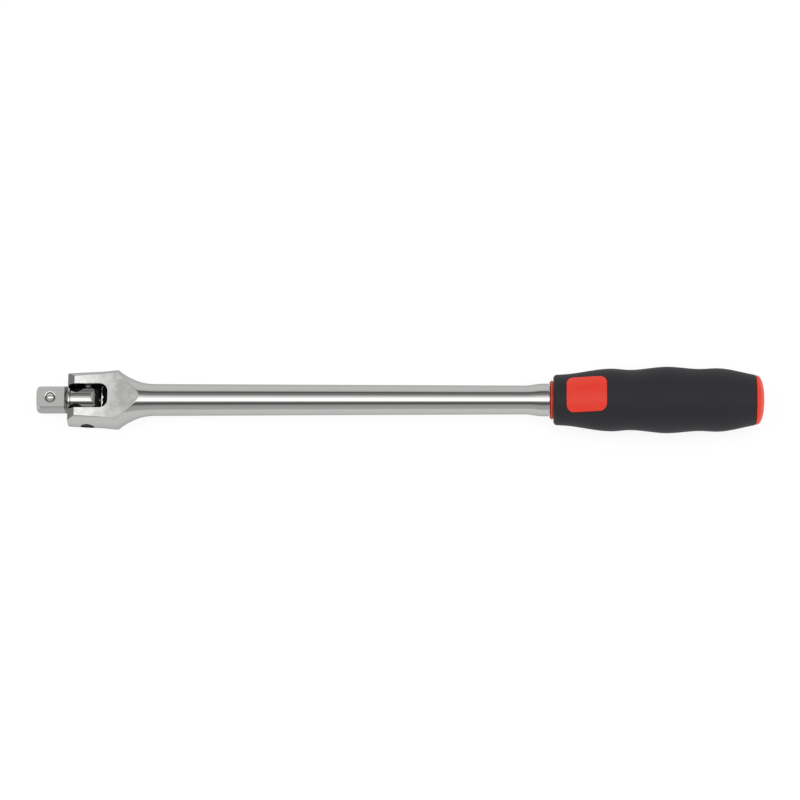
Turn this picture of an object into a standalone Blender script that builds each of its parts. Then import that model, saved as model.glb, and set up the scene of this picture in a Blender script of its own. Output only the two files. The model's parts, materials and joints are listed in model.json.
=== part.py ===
"""Breaker bar with a swivelling 1/2 inch square drive, a forged fork and a two-colour handle.

Metres, +Z up. The bar lies along X. The origin is the centre of the drive's end face, the handle is
at +X, the pivot pin runs along Y and the fork's two flats face +Z and -Z.
"""

import math

import bmesh
import bpy
from mathutils import Matrix, Vector

MM = 0.001

# Square drive
DRIVE_SIZE = 12.7 * MM
DRIVE_CORNER_R = 8.2 * MM
DRIVE_END_CHAMFER = 1.9 * MM
SHOULDER_START = 15.3 * MM
SHOULDER_END = 17.6 * MM
COLLAR_R = 8.5 * MM
COLLAR_END = 18.4 * MM
KNUCKLE_R = 7.3 * MM
KNUCKLE_END_R = 7.4 * MM
KNUCKLE_HALF_WIDTH = 6.55 * MM
CHEEK_FRONT = 15.0 * MM

# Pivot
PIVOT_X = 28.0 * MM
PIN_R = 3.5 * MM
PIN_HALF_LENGTH = 13.2 * MM
PIN_HOLE_R = 3.8 * MM
RING_Y = 13.85 * MM
RING_THICKNESS = 0.5 * MM
RING_INNER_R = 2.9 * MM
RING_OUTER_R = 4.3 * MM
RING_GROOVE_R = 4.6 * MM
RING_GAP_DEG = 50.0

# Drive ball and its spring
BALL_X = 7.5 * MM
BALL_R = 2.75 * MM
BALL_RISE = 1.0 * MM
BALL_BORE_R = 3.05 * MM
BALL_LIP_R = 2.6 * MM
BALL_RIM_R = 3.3 * MM
BALL_BORE_FLOOR = -4.0 * MM
BALL_SPRING_R = 1.9 * MM
BALL_SPRING_WIRE_R = 0.3 * MM

# Fork
FORK_FRONT = 17.3 * MM
FORK_FLAT_START = 21.2 * MM
FORK_FLAT_Z = 10.0 * MM
FORK_BEVEL_DROP = 3.4 * MM
FORK_CREST_X = 45.2 * MM
FORK_CREST_R = 16.5 * MM
SLOT_HALF_WIDTH = 6.85 * MM
SLOT_END = 39.5 * MM
SLOT_APEX = 35.7 * MM
SLOT_CORNER_R = 4.5 * MM

# Hinge plunger and its spring, in a bore in the slot's end wall
PLUNGER_BORE_R = 2.5 * MM
PLUNGER_BORE_END = 62.0 * MM
DRILL_POINT = 1.2 * MM
PLUNGER_R = 2.2 * MM
PLUNGER_REAR = 47.5 * MM
PLUNGER_SPRING_R = 1.8 * MM
PLUNGER_SPRING_WIRE_R = 0.3 * MM

# Shank
NECK_X = 66.0 * MM
NECK_R = 8.8 * MM
SHANK_END = 268.5 * MM
SHANK_END_R = 7.95 * MM
FLARE_END = 278.5 * MM
FLARE_R = 9.0 * MM
BAR_SHOULDER = 282.0 * MM
TANG_R = 7.6 * MM
TANG_END = 371.0 * MM
TANG_GROOVE_R = 6.7 * MM
TANG_GROOVES = (300.0 * MM, 330.0 * MM, 360.0 * MM)
TANG_GROOVE_HALF = 3.0 * MM

# Handle
FRONT_RING_R = 10.7 * MM
FRONT_RING_END = 284.2 * MM
CORE_R = 10.3 * MM
CORE_BORE_R = 7.9 * MM
CORE_REAR = 395.1 * MM
CAP_SOCKET_R = 6.4 * MM
CAP_SOCKET_FLOOR = 379.0 * MM
GRIP_FRONT = 284.0 * MM
GRIP_REAR = 395.2 * MM
GRIP_FRONT_CORNER = 2.0 * MM
CAP_R = 13.6 * MM
CAP_DOME_POWER = 2.2
CAP_END = 400.0 * MM
SPIGOT_R = 6.1 * MM
SPIGOT_FRONT = 380.5 * MM

# Red pad of the core that shows through a window in the grip
PAD_X = (291.5 * MM, 313.5 * MM)
PAD_HALF_WIDTH = 9.9 * MM
PAD_CORNER_R = 4.0 * MM

GAP = 0.3 * MM
PAST = 5.0 * MM

BAR_STEPS = 48
HANDLE_STEPS = 40
HOLE_STEPS = 32
PIN_STEPS = 24
SMALL_STEPS = 20
ARC_STEPS = 20
BALL_RINGS = 12

# Grip outline: station along X, radius and slope of the outline there
GRIP_STATIONS = (
    (289.0 * MM, 14.05 * MM, 0.04),
    (316.4 * MM, 17.27 * MM, 0.0),
    (326.3 * MM, 16.6 * MM, 0.0),
    (346.7 * MM, 18.28 * MM, 0.0),
    (364.8 * MM, 17.07 * MM, 0.0),
    (373.6 * MM, 17.46 * MM, 0.0),
    (GRIP_REAR, 13.8 * MM, -0.17),
)

# Fork head behind its crest: station along X and radius, on one concave sweep into the shank
FORK_SWEEP = (
    (48.0 * MM, 14.1 * MM),
    (50.4 * MM, 12.7 * MM),
    (52.8 * MM, 11.5 * MM),
    (55.2 * MM, 10.5 * MM),
    (58.0 * MM, 9.6 * MM),
    (61.5 * MM, 9.0 * MM),
    (NECK_X, NECK_R),
)


def clear_scene():
    for obj in list(bpy.data.objects):
        bpy.data.objects.remove(obj, do_unlink=True)


def material(name, color, roughness, metallic):
    made = bpy.data.materials.new(name)
    made.use_nodes = True
    shader = made.node_tree.nodes["Principled BSDF"]
    shader.inputs["Base Color"].default_value = (*color, 1.0)
    shader.inputs["Roughness"].default_value = roughness
    shader.inputs["Metallic"].default_value = metallic
    return made


def finish(bm, name, finish_material, origin=(0.0, 0.0, 0.0)):
    """Makes an object of a bmesh, with its origin moved to the given point."""
    bmesh.ops.recalc_face_normals(bm, faces=bm.faces)
    bmesh.ops.translate(bm, verts=bm.verts, vec=-Vector(origin))
    mesh = bpy.data.meshes.new(name)
    bm.to_mesh(mesh)
    bm.free()
    mesh.shade_smooth()
    mesh.set_sharp_from_angle(angle=math.radians(35))
    obj = bpy.data.objects.new(name, mesh)
    obj.location = origin
    if finish_material is not None:
        mesh.materials.append(finish_material)
    bpy.context.collection.objects.link(obj)
    return obj


def cutter(bm, name):
    obj = finish(bm, name, None)
    obj.hide_render = True
    obj.display_type = "WIRE"
    return obj


def combine(obj, other, operation="DIFFERENCE"):
    modifier = obj.modifiers.new(f"{operation.lower()} {other.name}", "BOOLEAN")
    modifier.operation = operation
    modifier.solver = "EXACT"
    modifier.object = other


def lathe(outline, steps, closed=False):
    """Turns (x, radius) points about X. A closed outline is a ring; an open one ends on the axis."""
    bm = bmesh.new()
    rings = []
    for x, radius in outline:
        if radius == 0.0:
            rings.append([bm.verts.new((x, 0.0, 0.0))])
            continue
        angles = [2 * math.pi * step / steps for step in range(steps)]
        rings.append([bm.verts.new((x, radius * math.cos(a), radius * math.sin(a))) for a in angles])
    pairs = list(zip(rings, rings[1:]))
    if closed:
        pairs.append((rings[-1], rings[0]))
    for first, second in pairs:
        for step in range(steps):
            after = (step + 1) % steps
            corners = [first[step % len(first)], first[after % len(first)]]
            corners += [second[after % len(second)], second[step % len(second)]]
            bm.faces.new(list(dict.fromkeys(corners)))
    return bm


def prism(outline, low, high, to_world):
    """Extrudes a flat outline from low to high along its third axis, then places it with a matrix."""
    bm = bmesh.new()
    bottom = bm.faces.new([bm.verts.new((u, v, low)) for u, v in outline])
    made = bmesh.ops.extrude_face_region(bm, geom=[bottom])
    top = [item for item in made["geom"] if isinstance(item, bmesh.types.BMVert)]
    bmesh.ops.translate(bm, verts=top, vec=(0.0, 0.0, high - low))
    bmesh.ops.transform(bm, matrix=to_world, verts=bm.verts)
    return bm


def arc(center, radius, start_deg, end_deg, steps):
    angles = [math.radians(start_deg + (end_deg - start_deg) * i / steps) for i in range(steps + 1)]
    return [(center[0] + radius * math.cos(a), center[1] + radius * math.sin(a)) for a in angles]


def rounded_rectangle(low_x, high_x, half_width, corner_r):
    points = arc((high_x - corner_r, half_width - corner_r), corner_r, 0, 90, 5)
    points += arc((low_x + corner_r, half_width - corner_r), corner_r, 90, 180, 5)
    points += arc((low_x + corner_r, corner_r - half_width), corner_r, 180, 270, 5)
    points += arc((high_x - corner_r, corner_r - half_width), corner_r, 270, 360, 5)
    return points


# A prism's own axes (u, v, height) laid along world axes
ALONG_Z = Matrix.Identity(4)
ALONG_Y = Matrix(((1, 0, 0, 0), (0, 0, 1, 0), (0, 1, 0, 0), (0, 0, 0, 1)))
X_TO_Y = Matrix.Rotation(math.pi / 2, 4, "Z")
X_TO_Z = Matrix.Rotation(-math.pi / 2, 4, "Y")
Z_TO_X = Matrix.Rotation(math.pi / 2, 4, "Y")


def outline_radius(stations, x):
    """Radius on a smooth curve through stations of (x, radius, slope)."""
    for (x0, r0, s0), (x1, r1, s1) in zip(stations, stations[1:]):
        if x0 <= x <= x1:
            length = x1 - x0
            t = (x - x0) / length
            value = (2 * t**3 - 3 * t**2 + 1) * r0 + (3 * t**2 - 2 * t**3) * r1
            return value + length * ((t**3 - 2 * t**2 + t) * s0 + (t**3 - t**2) * s1)
    raise ValueError("x lies outside the outline")


def helix(name, radius, wire_r, start, end, turns, to_world, finish_material):
    """A compression spring along its own Z, with closed ends, as a curve with a round bevel."""
    points_per_turn = 12
    count = int(turns * points_per_turn)
    curve = bpy.data.curves.new(name, "CURVE")
    curve.dimensions = "3D"
    curve.bevel_depth = wire_r
    curve.bevel_resolution = 1
    curve.use_fill_caps = True
    spline = curve.splines.new("POLY")
    spline.points.add(count)
    low = start + wire_r
    high = end - wire_r
    for index in range(count + 1):
        t = index / count
        # The first and last turn rise slowly, so that the ends close up.
        rise = t - 0.6 * math.sin(2 * math.pi * t) / (2 * math.pi)
        angle = 2 * math.pi * turns * t
        point = Vector((radius * math.cos(angle), radius * math.sin(angle), low + (high - low) * rise))
        spline.points[index].co = (*(to_world @ point), 1.0)
    curve.materials.append(finish_material)
    obj = bpy.data.objects.new(name, curve)
    bpy.context.collection.objects.link(obj)
    return obj


def make_swivel_drive(steel):
    """Square drive, shoulder and round knuckle in one piece, with its origin on the pivot."""
    overlap = 1.0 * MM
    slope = (COLLAR_R - DRIVE_SIZE / 2) / (SHOULDER_END - SHOULDER_START)
    blank = [
        (0.0, 0.0),
        (0.0, DRIVE_CORNER_R - DRIVE_END_CHAMFER),
        (DRIVE_END_CHAMFER * 0.35, DRIVE_CORNER_R - DRIVE_END_CHAMFER * 0.42),
        (DRIVE_END_CHAMFER, DRIVE_CORNER_R),
        (SHOULDER_START, DRIVE_CORNER_R),
        (SHOULDER_END - GAP, COLLAR_R - GAP),
        (SHOULDER_END - GAP, 0.0),
    ]
    rear = [
        (SHOULDER_START - overlap, 0.0),
        (SHOULDER_START - overlap, DRIVE_SIZE / 2 - slope * overlap),
        (SHOULDER_END, COLLAR_R),
        (COLLAR_END, COLLAR_R),
        (COLLAR_END + 0.4 * MM, KNUCKLE_R),
        (PIVOT_X + PAST + KNUCKLE_R, KNUCKLE_R),
        (PIVOT_X + PAST + KNUCKLE_R, 0.0),
    ]
    pivot = (PIVOT_X, 0.0, 0.0)
    half = DRIVE_SIZE / 2
    square_outline = [(-half, -half), (half, -half), (half, half), (-half, half)]
    square = cutter(prism(square_outline, -PAST, 2 * PIVOT_X, Z_TO_X), "cut_square")
    drive = finish(lathe(blank, BAR_STEPS), "swivel_drive", steel, pivot)
    combine(drive, square, "INTERSECT")
    combine(drive, cutter(lathe(rear, BAR_STEPS), "add_knuckle"), "UNION")
    side_outline = [(-PAST, DRIVE_SIZE), (-PAST, -DRIVE_SIZE), (PIVOT_X, -DRIVE_SIZE)]
    side_outline += arc((PIVOT_X, 0.0), KNUCKLE_END_R, -90, 90, ARC_STEPS) + [(PIVOT_X, DRIVE_SIZE)]
    side = cutter(prism(side_outline, -2 * DRIVE_SIZE, 2 * DRIVE_SIZE, ALONG_Y), "cut_knuckle_end")
    combine(drive, side, "INTERSECT")
    rear_end = PIVOT_X + DRIVE_SIZE
    for name, side in (("left", 1), ("right", -1)):
        near = side * KNUCKLE_HALF_WIDTH
        far = side * DRIVE_SIZE
        flat_outline = [(CHEEK_FRONT, near), (rear_end, near), (rear_end, far), (CHEEK_FRONT, far)]
        flat = cutter(prism(flat_outline, -2 * DRIVE_SIZE, 2 * DRIVE_SIZE, ALONG_Z), f"cut_cheek_{name}")
        combine(drive, flat)
    hole_ends = (-DRIVE_SIZE, DRIVE_SIZE)
    hole_outline = [(hole_ends[0], 0.0)] + [(x, PIN_HOLE_R) for x in hole_ends] + [(hole_ends[1], 0.0)]
    pin_hole = lathe(hole_outline, HOLE_STEPS)
    bmesh.ops.transform(pin_hole, matrix=Matrix.Translation(pivot) @ X_TO_Y, verts=pin_hole.verts)
    combine(drive, cutter(pin_hole, "cut_drive_pin_hole"))
    lip_z = half - 0.25 * MM
    bore = lathe(
        [
            (BALL_BORE_FLOOR, 0.0),
            (BALL_BORE_FLOOR, BALL_BORE_R),
            (lip_z - 0.45 * MM, BALL_BORE_R),
            (lip_z, BALL_LIP_R),
            (half + 0.001 * MM, BALL_RIM_R),
            (half + PAST, BALL_RIM_R),
            (half + PAST, 0.0),
        ],
        HOLE_STEPS,
    )
    bmesh.ops.transform(bore, matrix=Matrix.Translation((BALL_X, 0.0, 0.0)) @ X_TO_Z, verts=bore.verts)
    combine(drive, cutter(bore, "cut_ball_bore"))
    return drive


def make_drive_ball(steel):
    """Ball that holds a socket on the drive. The staked lip of its bore keeps it in."""
    bm = bmesh.new()
    bmesh.ops.create_uvsphere(bm, u_segments=SMALL_STEPS, v_segments=BALL_RINGS, radius=BALL_R)
    center = (BALL_X, 0.0, DRIVE_SIZE / 2 + BALL_RISE - BALL_R)
    bmesh.ops.translate(bm, verts=bm.verts, vec=center)
    return finish(bm, "drive_ball", steel, center)


def make_pivot_pin(steel):
    """Plain pin through both ears and the knuckle."""
    chamfer = 0.5 * MM
    half = PIN_HALF_LENGTH
    bm = lathe(
        [
            (-half, 0.0),
            (-half, PIN_R - chamfer),
            (chamfer - half, PIN_R),
            (half - chamfer, PIN_R),
            (half, PIN_R - chamfer),
            (half, 0.0),
        ],
        PIN_STEPS,
    )
    bmesh.ops.transform(bm, matrix=Matrix.Translation((PIVOT_X, 0.0, 0.0)) @ X_TO_Y, verts=bm.verts)
    return finish(bm, "pivot_pin", steel, (PIVOT_X, 0.0, 0.0))


def make_pin_ring(name, side, steel):
    """A split retaining ring that sits in a groove of the ear, outside the pin's end."""
    outline = arc((PIVOT_X, 0.0), RING_OUTER_R, RING_GAP_DEG / 2, 360 - RING_GAP_DEG / 2, ARC_STEPS)
    outline += arc((PIVOT_X, 0.0), RING_INNER_R, 360 - RING_GAP_DEG / 2, RING_GAP_DEG / 2, ARC_STEPS)
    low = side * RING_Y - RING_THICKNESS / 2
    ring = prism(outline, low, low + RING_THICKNESS, ALONG_Y)
    return finish(ring, name, steel, (PIVOT_X, side * RING_Y, 0.0))


def make_bar(steel):
    """Fork, shank and the tang inside the handle, forged in one piece."""
    outline = [
        (FORK_FRONT, 0.0),
        (FORK_FRONT, 14.5 * MM),
        (FORK_FRONT + 0.4 * MM, 14.8 * MM),
        (30.0 * MM, 15.4 * MM),
        (36.0 * MM, 15.65 * MM),
        (41.0 * MM, 16.15 * MM),
        (FORK_CREST_X - 0.6 * MM, FORK_CREST_R),
        (FORK_CREST_X, FORK_CREST_R - 0.25 * MM),
    ]
    outline += FORK_SWEEP
    outline.append((SHANK_END, SHANK_END_R))
    for t in (0.25, 0.5, 0.75, 1.0):
        ease = (1 - math.cos(math.pi * t)) / 2
        x = SHANK_END + t * (FLARE_END - SHANK_END)
        outline.append((x, SHANK_END_R + ease * (FLARE_R - SHANK_END_R)))
    outline += [(BAR_SHOULDER, FLARE_R), (BAR_SHOULDER, TANG_R)]
    for x in TANG_GROOVES:
        outline += [(x - TANG_GROOVE_HALF, TANG_R), (x - TANG_GROOVE_HALF, TANG_GROOVE_R)]
        outline += [(x + TANG_GROOVE_HALF, TANG_GROOVE_R), (x + TANG_GROOVE_HALF, TANG_R)]
    outline += [(TANG_END - 1.0 * MM, TANG_R), (TANG_END, TANG_R - 1.0 * MM), (TANG_END, 0.0)]
    bar = finish(lathe(outline, BAR_STEPS), "bar", steel)

    flat_rear = NECK_X + PAST
    reach = 2 * FORK_CREST_R
    for name, side in (("top", 1), ("bottom", -1)):
        slope = FORK_BEVEL_DROP / (FORK_FLAT_START - FORK_FRONT)
        front_z = FORK_FLAT_Z - FORK_BEVEL_DROP - slope * PAST
        flat_outline = [(FORK_FRONT - PAST, side * front_z), (FORK_FLAT_START, side * FORK_FLAT_Z)]
        flat_outline += [(flat_rear, side * FORK_FLAT_Z), (flat_rear, side * reach)]
        flat_outline.append((FORK_FRONT - PAST, side * reach))
        combine(bar, cutter(prism(flat_outline, -reach, reach, ALONG_Y), f"cut_fork_flat_{name}"))

    corner = SLOT_HALF_WIDTH - SLOT_CORNER_R
    slot_outline = [(FORK_FRONT - PAST, SLOT_HALF_WIDTH), (FORK_FRONT - PAST, -SLOT_HALF_WIDTH)]
    slot_outline += arc((SLOT_END - SLOT_CORNER_R, -corner), SLOT_CORNER_R, -90, 0, 6)
    slot_outline += arc((SLOT_END - SLOT_CORNER_R, corner), SLOT_CORNER_R, 0, 90, 6)
    slot = cutter(prism(slot_outline, -reach, reach, ALONG_Z), "cut_slot")
    # Seen from the side, the slot ends in a blunt wedge that comes close to the knuckle.
    wedge_slope = (SLOT_END - SLOT_APEX) / FORK_FLAT_Z
    wedge_z = reach + PAST
    wedge_reach = SLOT_APEX + wedge_slope * wedge_z
    side_outline = [(0.0, -wedge_z), (wedge_reach, -wedge_z), (SLOT_APEX, 0.0)]
    side_outline += [(wedge_reach, wedge_z), (0.0, wedge_z)]
    combine(slot, cutter(prism(side_outline, -reach, reach, ALONG_Y), "cut_slot_wedge"), "INTERSECT")
    combine(bar, slot)

    groove_half = RING_THICKNESS / 2 + GAP
    hole_outline = [(-reach, 0.0), (-reach, PIN_HOLE_R)]
    for side in (-1, 1):
        low = side * RING_Y - groove_half
        high = side * RING_Y + groove_half
        hole_outline += [(low, PIN_HOLE_R), (low, RING_GROOVE_R), (high, RING_GROOVE_R), (high, PIN_HOLE_R)]
    hole_outline += [(reach, PIN_HOLE_R), (reach, 0.0)]
    hole = lathe(hole_outline, HOLE_STEPS)
    bmesh.ops.transform(hole, matrix=Matrix.Translation((PIVOT_X, 0.0, 0.0)) @ X_TO_Y, verts=hole.verts)
    combine(bar, cutter(hole, "cut_fork_pin_hole"))

    bore_front = SLOT_APEX - SLOT_CORNER_R
    bore_outline = [(bore_front, 0.0), (bore_front, PLUNGER_BORE_R)]
    bore_outline += [(PLUNGER_BORE_END, PLUNGER_BORE_R), (PLUNGER_BORE_END + DRILL_POINT, 0.0)]
    combine(bar, cutter(lathe(bore_outline, SMALL_STEPS), "cut_plunger_bore"))
    return bar


def make_plunger(steel):
    """Round-nosed pin that presses on the knuckle, so that the head stays where it is put."""
    nose = PIVOT_X + KNUCKLE_END_R + GAP
    outline = [(nose, 0.0)]
    outline += arc((nose + PLUNGER_R, 0.0), PLUNGER_R, 162, 90, 4)
    chamfer = 0.3 * MM
    outline += [(PLUNGER_REAR - chamfer, PLUNGER_R), (PLUNGER_REAR, PLUNGER_R - chamfer), (PLUNGER_REAR, 0.0)]
    return finish(lathe(outline, SMALL_STEPS), "hinge_plunger", steel, (nose, 0.0, 0.0))


def grip_radius(x):
    return outline_radius(GRIP_STATIONS, x)


def grip_outline(inner_r):
    """Closed outline of the grip sleeve: the bore, the rear face, the wavy outside, the front corner."""
    outline = [(GRIP_FRONT + GAP, inner_r), (GRIP_REAR, inner_r), (GRIP_REAR, grip_radius(GRIP_REAR))]
    stations = [x for x, radius, slope in GRIP_STATIONS]
    for low, high in reversed(list(zip(stations, stations[1:]))):
        count = max(2, round((high - low) / (4.5 * MM)))
        for step in range(count - 1, -1, -1):
            x = low + (high - low) * step / count
            outline.append((x, grip_radius(x)))
    corner_r = GRIP_FRONT_CORNER
    corner_x = GRIP_FRONT + GAP + corner_r
    outline += arc((corner_x, 13.9 * MM - corner_r), corner_r, 90, 180, 4)
    return outline


def make_core(plastic):
    """Hard red core: the front ring, the tube inside the grip and the pad in the grip's window."""
    ring_round = 0.5 * MM
    outline = [
        (BAR_SHOULDER + GAP, CORE_BORE_R),
        (BAR_SHOULDER + GAP, FRONT_RING_R - ring_round),
        (BAR_SHOULDER + GAP + ring_round, FRONT_RING_R),
        (FRONT_RING_END - GAP, FRONT_RING_R),
        (FRONT_RING_END - GAP, CORE_R),
        (CORE_REAR, CORE_R),
        (CORE_REAR, CAP_SOCKET_R),
        (CAP_SOCKET_FLOOR, CAP_SOCKET_R),
        (CAP_SOCKET_FLOOR, CORE_BORE_R - 2.4 * MM),
        (TANG_END + 1.5 * MM, CORE_BORE_R - 2.4 * MM),
        (TANG_END + 1.5 * MM, CORE_BORE_R),
    ]
    core = finish(lathe(outline, HANDLE_STEPS, closed=True), "handle_core", plastic)
    pad = lathe(grip_outline(CORE_R - 1.0 * MM), HANDLE_STEPS, closed=True)
    pad_body = cutter(pad, "add_pad")
    pad_outline = rounded_rectangle(PAD_X[0], PAD_X[1], PAD_HALF_WIDTH, PAD_CORNER_R)
    combine(pad_body, cutter(prism(pad_outline, 0.5 * MM, 2 * CAP_R, ALONG_Z), "cut_pad"), "INTERSECT")
    combine(core, pad_body, "UNION")
    return core


def make_grip(rubber):
    """Soft sleeve over the core, with a window for the core's pad."""
    grip = finish(lathe(grip_outline(CORE_R + GAP), HANDLE_STEPS, closed=True), "grip_sleeve", rubber)
    window = rounded_rectangle(PAD_X[0] - GAP, PAD_X[1] + GAP, PAD_HALF_WIDTH + GAP, PAD_CORNER_R + GAP)
    combine(grip, cutter(prism(window, 0.0, 2 * CAP_R, ALONG_Z), "cut_window"))
    return grip


def make_end_cap(plastic):
    """Domed cap with a spigot that plugs into the core's rear socket."""
    front = GRIP_REAR + GAP
    lead_in = 0.8 * MM
    outline = [(SPIGOT_FRONT, 0.0), (SPIGOT_FRONT, SPIGOT_R - lead_in), (SPIGOT_FRONT + lead_in, SPIGOT_R)]
    outline.append((front, SPIGOT_R))
    steps = 9
    for step in range(steps):
        angle = math.pi / 2 * (1 - step / steps)
        radius = CAP_R * math.sin(angle) ** (2 / CAP_DOME_POWER)
        outline.append((front + (CAP_END - front) * math.cos(angle) ** (2 / CAP_DOME_POWER), radius))
    outline.append((CAP_END, 0.0))
    return finish(lathe(outline, HANDLE_STEPS), "end_cap", plastic)


def main():
    clear_scene()
    chrome = material("polished_chrome", (0.78, 0.78, 0.77), 0.08, 1.0)
    spring_steel = material("spring_steel", (0.30, 0.30, 0.31), 0.30, 1.0)
    bearing_steel = material("bearing_steel", (0.62, 0.62, 0.60), 0.12, 1.0)
    red = material("red_plastic", (0.80, 0.05, 0.03), 0.40, 0.0)
    black = material("black_rubber", (0.035, 0.034, 0.038), 0.65, 0.0)

    make_bar(chrome)
    make_swivel_drive(chrome)
    make_pivot_pin(spring_steel)
    make_pin_ring("pin_ring_left", 1, spring_steel)
    make_pin_ring("pin_ring_right", -1, spring_steel)
    make_drive_ball(bearing_steel)
    ball_bottom = DRIVE_SIZE / 2 + BALL_RISE - 2 * BALL_R
    ball_spring_place = Matrix.Translation((BALL_X, 0.0, 0.0))
    helix(
        "drive_ball_spring",
        BALL_SPRING_R,
        BALL_SPRING_WIRE_R,
        BALL_BORE_FLOOR + GAP,
        ball_bottom + 0.3 * MM,
        4.5,
        ball_spring_place,
        spring_steel,
    )
    make_plunger(bearing_steel)
    helix(
        "hinge_plunger_spring",
        PLUNGER_SPRING_R,
        PLUNGER_SPRING_WIRE_R,
        PLUNGER_REAR + GAP,
        PLUNGER_BORE_END - GAP,
        8,
        Z_TO_X,
        spring_steel,
    )
    make_core(red)
    make_grip(black)
    make_end_cap(red)


main()
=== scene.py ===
"""Looks of the breaker bar: polished head and shank, two-colour handle, plain pale studio and camera."""

import json
import math

import bmesh
import bpy
from mathutils import Matrix, Vector


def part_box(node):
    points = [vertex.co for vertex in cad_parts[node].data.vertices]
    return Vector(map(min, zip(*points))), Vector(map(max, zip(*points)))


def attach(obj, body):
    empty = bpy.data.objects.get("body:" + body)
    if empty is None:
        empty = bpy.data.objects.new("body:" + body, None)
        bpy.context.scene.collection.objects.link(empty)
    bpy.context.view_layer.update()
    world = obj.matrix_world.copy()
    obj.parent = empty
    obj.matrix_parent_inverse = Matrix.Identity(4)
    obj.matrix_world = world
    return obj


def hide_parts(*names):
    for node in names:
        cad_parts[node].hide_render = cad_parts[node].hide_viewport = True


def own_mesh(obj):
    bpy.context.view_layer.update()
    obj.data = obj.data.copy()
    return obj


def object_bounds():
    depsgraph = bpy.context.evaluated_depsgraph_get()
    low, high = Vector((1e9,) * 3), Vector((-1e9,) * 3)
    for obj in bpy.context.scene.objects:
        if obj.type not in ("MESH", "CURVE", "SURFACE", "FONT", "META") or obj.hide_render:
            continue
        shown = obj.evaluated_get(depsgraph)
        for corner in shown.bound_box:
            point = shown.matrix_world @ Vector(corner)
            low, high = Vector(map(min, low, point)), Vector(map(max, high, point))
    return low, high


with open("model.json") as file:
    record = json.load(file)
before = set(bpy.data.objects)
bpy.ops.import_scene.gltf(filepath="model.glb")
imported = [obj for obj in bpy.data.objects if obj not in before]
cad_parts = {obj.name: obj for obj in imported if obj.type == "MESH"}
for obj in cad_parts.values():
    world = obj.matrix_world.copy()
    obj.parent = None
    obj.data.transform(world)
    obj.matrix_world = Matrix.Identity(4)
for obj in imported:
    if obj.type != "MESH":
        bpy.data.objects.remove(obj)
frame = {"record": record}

CAD_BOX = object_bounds()
MM = 0.001

# Places that come from the frame
DRIVE_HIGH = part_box("swivel_drive")[1]
BAR_LOW, BAR_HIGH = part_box("bar")
CORE_LOW, CORE_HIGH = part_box("handle_core")
GRIP_LOW, GRIP_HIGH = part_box("grip_sleeve")
CAP_LOW, CAP_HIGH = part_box("end_cap")
BALL_LOW, BALL_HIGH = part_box("drive_ball")
PIN_LOW, PIN_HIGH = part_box("pivot_pin")
PLUNGER_LOW, PLUNGER_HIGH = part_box("hinge_plunger")
MOUNTS = {mount["name"]: Vector(mount["pos_m"]) for mount in frame["record"]["mounts"]}

PIVOT_X = (PIN_LOW.x + PIN_HIGH.x) / 2
DRIVE_HALF = -MOUNTS["drive_side"].z
COLLAR_R = DRIVE_HIGH.z
KNUCKLE_END_R = DRIVE_HIGH.x - PIVOT_X
KNUCKLE_HALF_WIDTH = DRIVE_HIGH.y
BALL_CENTER = (BALL_LOW + BALL_HIGH) / 2
BALL_R = (BALL_HIGH.z - BALL_LOW.z) / 2
FORK_FRONT = BAR_LOW.x
FORK_FLAT_Z = BAR_HIGH.z
FORK_CREST_R = BAR_HIGH.y
TANG_END = BAR_HIGH.x
PIN_R = (PIN_HIGH.x - PIN_LOW.x) / 2

# Square drive
DRIVE_CORNER_R = 8.2 * MM
DRIVE_END_CHAMFER = 1.9 * MM
# The point that the rounded end bulges through: behind the end face, and in from the corners' radius
END_BULGE = (0.35 * DRIVE_END_CHAMFER, 0.42 * DRIVE_END_CHAMFER)
DRIVE_EDGE_R = 0.45 * MM
SHOULDER_START = 15.3 * MM
SHOULDER_END = 17.6 * MM
SHOULDER_LAP = 0.3 * MM
COLLAR_END = 18.4 * MM
COLLAR_CHAMFER = 0.5 * MM
KNUCKLE_R = 7.3 * MM
CHEEK_FRONT = 15.0 * MM
BALL_BORE_R = BALL_R + 0.3 * MM
BALL_LIP_R = BALL_R - 0.15 * MM
BALL_RIM_R = 3.3 * MM
BALL_LIP_Z = DRIVE_HALF - 0.25 * MM
BALL_LIP_HEIGHT = 0.45 * MM
BALL_BORE_FLOOR = -4.0 * MM

# Fork
FORK_FLAT_START = 21.2 * MM
FLAT_EDGE_R = 0.7 * MM
FORK_BEVEL_DROP = 3.4 * MM
FORK_CREST_X = 45.2 * MM
SLOT_HALF_WIDTH = KNUCKLE_HALF_WIDTH + 0.3 * MM
SLOT_END = 39.5 * MM
SLOT_APEX = DRIVE_HIGH.x + 0.16 * MM
SLOT_CORNER_R = 4.5 * MM
PIN_HOLE_R = PIN_R + 0.3 * MM
PLUNGER_BORE_R = 2.5 * MM
PLUNGER_BORE_END = 62.0 * MM
DRILL_POINT = 1.2 * MM

# The ears' outside, nearly straight, as (x, radius)
EAR_STATIONS = (
    (FORK_FRONT, 14.5 * MM),
    (FORK_FRONT + 0.4 * MM, 14.8 * MM),
    (24.0 * MM, 15.1 * MM),
    (30.0 * MM, 15.4 * MM),
    (36.0 * MM, 15.65 * MM),
    (41.0 * MM, 16.15 * MM),
    (FORK_CREST_X - 0.6 * MM, FORK_CREST_R),
    (FORK_CREST_X, FORK_CREST_R - 0.25 * MM),
)

# Shank and tang
NECK_X = 66.0 * MM
NECK_R = 8.8 * MM
SHANK_END = 268.5 * MM
SHANK_END_R = 7.95 * MM
FLARE_END = 278.5 * MM
FLARE_R = 9.0 * MM
FLARE_STEPS = 12
BAR_SHOULDER = CORE_LOW.x - 0.3 * MM
TANG_R = 7.6 * MM

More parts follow.
